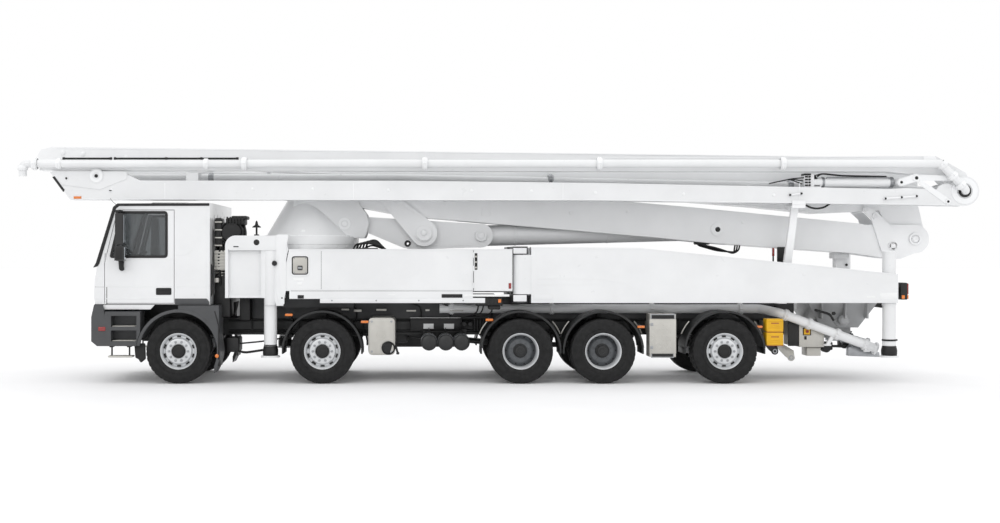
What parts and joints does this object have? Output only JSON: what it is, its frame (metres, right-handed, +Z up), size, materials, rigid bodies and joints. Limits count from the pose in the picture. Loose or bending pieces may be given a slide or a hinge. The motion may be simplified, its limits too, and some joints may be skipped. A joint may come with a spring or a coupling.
{
  "type": "concrete pump truck",
  "caption": "Truck-mounted concrete pump with its folding boom laid over the cab, four swing-out outriggers, a rear hopper and steered and driven axles, all parked for the road.",
  "frame": {"origin": "on the ground under the middle of the whole outline", "axes": "+X towards the rear of the truck, -Y its left side, +Z up"},
  "size_m": [16.032, 2.89, 3.985],
  "materials": {
    "black_paint": "satin",
    "cab_trim": "matte",
    "dark_plastic": "matte",
    "glass": "clear",
    "hose_rubber": "matte",
    "iron": "rough",
    "steel": "satin",
    "tyre": "matte",
    "white_paint": "satin",
    "yellow": "gloss"
  },
  "bodies": {
    "truck": {"air_intake": "dark_plastic", "axle_beams": "iron", "axle_mudguards": "dark_plastic", "boom_rests": "white_paint", "cab_fenders": "dark_plastic", "cab_glass": "glass", "cab_interior": "cab_trim", "cab_shell": "white_paint", "chassis_frame": "black_paint", "deck_boxes": "white_paint", "delivery_line": "white_paint", "engine_block": "iron", "exhaust_silencer": "black_paint", "front_bumper": "white_paint", "hopper": "white_paint", "pump_cylinders": "black_paint", "side_lockers": "black_paint", "subframe": "white_paint", "tanks": "black_paint", "wheel_chocks": "yellow"},
    "turret": {"turret": "white_paint"},
    "boom_1": {"boom_section_1": "white_paint"},
    "lift_rocker": {"lift_rocker": "white_paint"},
    "lift_link": {"lift_link": "white_paint"},
    "lift_barrel": {"lift_cylinder_barrel": "white_paint"},
    "lift_rod": {"lift_cylinder_rod": "steel"},
    "boom_2": {"boom_section_2": "white_paint"},
    "boom_3": {"boom_section_3": "white_paint", "section_3_gear": "white_paint"},
    "boom_4": {"boom_section_4": "white_paint", "section_4_pipe": "white_paint", "end_hose": "hose_rubber"},
    "front_arm_left": {"front_arm_left": "white_paint"},
    "rear_arm_left": {"rear_arm_left": "white_paint"},
    "front_jack_left": {"front_jack_left": "steel"},
    "rear_jack_left": {"rear_jack_left": "steel"},
    "door_left": {"cab_door_left": "white_paint", "door_glass_left": "glass"},
    "knuckle_1_left": {"knuckle_1_left": "iron"},
    "knuckle_2_left": {"knuckle_2_left": "iron"},
    "knuckle_5_left": {"knuckle_5_left": "iron"},
    "wheel_1_left": {"wheel_1_left": "tyre"},
    "wheel_2_left": {"wheel_2_left": "tyre"},
    "wheel_3_left": {"wheel_3_left": "tyre"},
    "wheel_4_left": {"wheel_4_left": "tyre"},
    "wheel_5_left": {"wheel_5_left": "tyre"},
    "front_arm_right": {"front_arm_right": "white_paint"},
    "rear_arm_right": {"rear_arm_right": "white_paint"},
    "front_jack_right": {"front_jack_right": "steel"},
    "rear_jack_right": {"rear_jack_right": "steel"},
    "door_right": {"cab_door_right": "white_paint", "door_glass_right": "glass"},
    "knuckle_1_right": {"knuckle_1_right": "iron"},
    "knuckle_2_right": {"knuckle_2_right": "iron"},
    "knuckle_5_right": {"knuckle_5_right": "iron"},
    "wheel_1_right": {"wheel_1_right": "tyre"},
    "wheel_2_right": {"wheel_2_right": "tyre"},
    "wheel_3_right": {"wheel_3_right": "tyre"},
    "wheel_4_right": {"wheel_4_right": "tyre"},
    "wheel_5_right": {"wheel_5_right": "tyre"}
  },
  "joints": [
    {"name": "boom_slew", "type": "hinge", "parent": "truck", "child": "turret", "pos_m": [-3.25, 0, 2.434], "axis": [0, 0, 1], "range_deg": [-185, 185]},
    {"name": "section_1_lift", "type": "hinge", "parent": "turret", "child": "boom_1", "pos_m": [-2.66, 0, 3.205], "axis": [0, -1, 0], "range_deg": [0, 88]},
    {"name": "lift_rocker_swing", "type": "hinge", "parent": "turret", "child": "lift_rocker", "pos_m": [-2.625, 0, 2.66], "axis": [0, -1, 0], "range_deg": [0, 51.15]},
    {"name": "lift_link_swing", "type": "hinge", "parent": "lift_rocker", "child": "lift_link", "pos_m": [-1.264, 0, 2.499], "axis": [0, 1, 0], "range_deg": [0, 21.53]},
    {"name": "lift_cylinder_swing", "type": "hinge", "parent": "lift_rocker", "child": "lift_barrel", "pos_m": [-0.28, 0, 2.455], "axis": [0, -1, 0], "range_deg": [0, 47.51]},
    {"name": "lift_rod_slide", "type": "slide", "parent": "lift_barrel", "child": "lift_rod", "axis": [0.9997, 0, 0.0258], "range_m": [0, 1.222]},
    {"name": "section_2_unfold", "type": "hinge", "parent": "boom_1", "child": "boom_2", "pos_m": [7.18, 0, 2.396], "axis": [0, 1, 0], "range_deg": [0, 180]},
    {"name": "section_3_unfold", "type": "hinge", "parent": "boom_2", "child": "boom_3", "pos_m": [-6.732, 0, 3.441], "axis": [0, -1, 0], "range_deg": [0, 180]},
    {"name": "section_4_unfold", "type": "hinge", "parent": "boom_3", "child": "boom_4", "pos_m": [7.762, 0, 3.19], "axis": [0, 1, 0], "range_deg": [0, 235]},
    {"name": "front_arm_left_swing", "type": "hinge", "parent": "truck", "child": "front_arm_left", "pos_m": [0.4376, -5.3226, 1.9], "axis": [0, 0, 1], "range_deg": [0, 40.5]},
    {"name": "front_jack_left_slide", "type": "slide", "parent": "front_arm_left", "child": "front_jack_left", "axis": [0, 0, -1], "range_m": [0, 0.75]},
    {"name": "rear_arm_left_swing", "type": "hinge", "parent": "truck", "child": "rear_arm_left", "pos_m": [0.33, -1.115, 1.8], "axis": [0, 0, -1], "range_deg": [0, 47]},
    {"name": "rear_jack_left_slide", "type": "slide", "parent": "rear_arm_left", "child": "rear_jack_left", "axis": [0, 0, -1], "range_m": [0, 0.75]},
    {"name": "door_left_swing", "type": "hinge", "parent": "truck", "child": "door_left", "pos_m": [-6.519, -1.168, 2.1], "axis": [0, 0, -1], "range_deg": [0, 70]},
    {"name": "steer_1_left", "type": "hinge", "parent": "truck", "child": "knuckle_1_left", "pos_m": [-5.31, -0.9, 0.535], "axis": [0, 0, 1], "range_deg": [-38, 38]},
    {"name": "wheel_1_left_spin", "type": "hinge", "parent": "knuckle_1_left", "child": "wheel_1_left", "pos_m": [-5.31, -1.0575, 0.535], "axis": [0, 1, 0], "continuous": true},
    {"name": "steer_2_left", "type": "hinge", "parent": "truck", "child": "knuckle_2_left", "pos_m": [-2.94, -0.9, 0.535], "axis": [0, 0, 1], "range_deg": [-27, 27]},
    {"name": "wheel_2_left_spin", "type": "hinge", "parent": "knuckle_2_left", "child": "wheel_2_left", "pos_m": [-2.94, -1.0575, 0.535], "axis": [0, 1, 0], "continuous": true},
    {"name": "steer_5_left", "type": "hinge", "parent": "truck", "child": "knuckle_5_left", "pos_m": [3.69, -0.9, 0.535], "axis": [0, 0, 1], "range_deg": [-20, 20]},
    {"name": "wheel_5_left_spin", "type": "hinge", "parent": "knuckle_5_left", "child": "wheel_5_left", "pos_m": [3.69, -1.0575, 0.535], "axis": [0, 1, 0], "continuous": true},
    {"name": "wheel_3_left_spin", "type": "hinge", "parent": "truck", "child": "wheel_3_left", "pos_m": [0.33, -0.935, 0.535], "axis": [0, 1, 0], "continuous": true},
    {"name": "wheel_4_left_spin", "type": "hinge", "parent": "truck", "child": "wheel_4_left", "pos_m": [1.69, -0.935, 0.535], "axis": [0, 1, 0], "continuous": true},
    {"name": "front_arm_right_swing", "type": "hinge", "parent": "truck", "child": "front_arm_right", "pos_m": [0.4376, 5.3226, 1.9], "axis": [0, 0, -1], "range_deg": [0, 40.5]},
    {"name": "front_jack_right_slide", "type": "slide", "parent": "front_arm_right", "child": "front_jack_right", "axis": [0, 0, -1], "range_m": [0, 0.75]},
    {"name": "rear_arm_right_swing", "type": "hinge", "parent": "truck", "child": "rear_arm_right", "pos_m": [0.33, 1.115, 1.8], "axis": [0, 0, 1], "range_deg": [0, 47]},
    {"name": "rear_jack_right_slide", "type": "slide", "parent": "rear_arm_right", "child": "rear_jack_right", "axis": [0, 0, -1], "range_m": [0, 0.75]},
    {"name": "door_right_swing", "type": "hinge", "parent": "truck", "child": "door_right", "pos_m": [-6.519, 1.168, 2.1], "axis": [0, 0, 1], "range_deg": [0, 70]},
    {"name": "steer_1_right", "type": "hinge", "parent": "truck", "child": "knuckle_1_right", "pos_m": [-5.31, 0.9, 0.535], "axis": [0, 0, 1], "range_deg": [-38, 38]},
    {"name": "wheel_1_right_spin", "type": "hinge", "parent": "knuckle_1_right", "child": "wheel_1_right", "pos_m": [-5.31, 1.0575, 0.535], "axis": [0, 1, 0], "continuous": true},
    {"name": "steer_2_right", "type": "hinge", "parent": "truck", "child": "knuckle_2_right", "pos_m": [-2.94, 0.9, 0.535], "axis": [0, 0, 1], "range_deg": [-27, 27]},
    {"name": "wheel_2_right_spin", "type": "hinge", "parent": "knuckle_2_right", "child": "wheel_2_right", "pos_m": [-2.94, 1.0575, 0.535], "axis": [0, 1, 0], "continuous": true},
    {"name": "steer_5_right", "type": "hinge", "parent": "truck", "child": "knuckle_5_right", "pos_m": [3.69, 0.9, 0.535], "axis": [0, 0, 1], "range_deg": [-20, 20]},
    {"name": "wheel_5_right_spin", "type": "hinge", "parent": "knuckle_5_right", "child": "wheel_5_right", "pos_m": [3.69, 1.0575, 0.535], "axis": [0, 1, 0], "continuous": true},
    {"name": "wheel_3_right_spin", "type": "hinge", "parent": "truck", "child": "wheel_3_right", "pos_m": [0.33, 0.935, 0.535], "axis": [0, 1, 0], "continuous": true},
    {"name": "wheel_4_right_spin", "type": "hinge", "parent": "truck", "child": "wheel_4_right", "pos_m": [1.69, 0.935, 0.535], "axis": [0, 1, 0], "continuous": true}
  ],
  "couplings": [
    {"joint": "boom_slew", "follows": "section_2_unfold", "ratio": 1.0278},
    {"joint": "section_1_lift", "follows": "section_2_unfold", "ratio": 0.48889},
    {"joint": "lift_rocker_swing", "follows": "section_2_unfold", "ratio": 0.28411},
    {"joint": "lift_link_swing", "follows": "section_2_unfold", "ratio": 0.11956},
    {"joint": "lift_cylinder_swing", "follows": "section_2_unfold", "ratio": 0.26389},
    {"joint": "lift_rod_slide", "follows": "section_2_unfold", "m_per_rad": 0.38834},
    {"joint": "section_3_unfold", "follows": "section_2_unfold", "ratio": 1},
    {"joint": "section_4_unfold", "follows": "section_2_unfold", "ratio": 1.3056},
    {"joint": "steer_1_right", "follows": "steer_1_left", "ratio": 1},
    {"joint": "steer_2_left", "follows": "steer_1_left", "ratio": 0.7},
    {"joint": "steer_5_left", "follows": "steer_1_left", "ratio": -0.5},
    {"joint": "steer_2_right", "follows": "steer_1_left", "ratio": 0.7},
    {"joint": "steer_5_right", "follows": "steer_1_left", "ratio": -0.5}
  ]
}
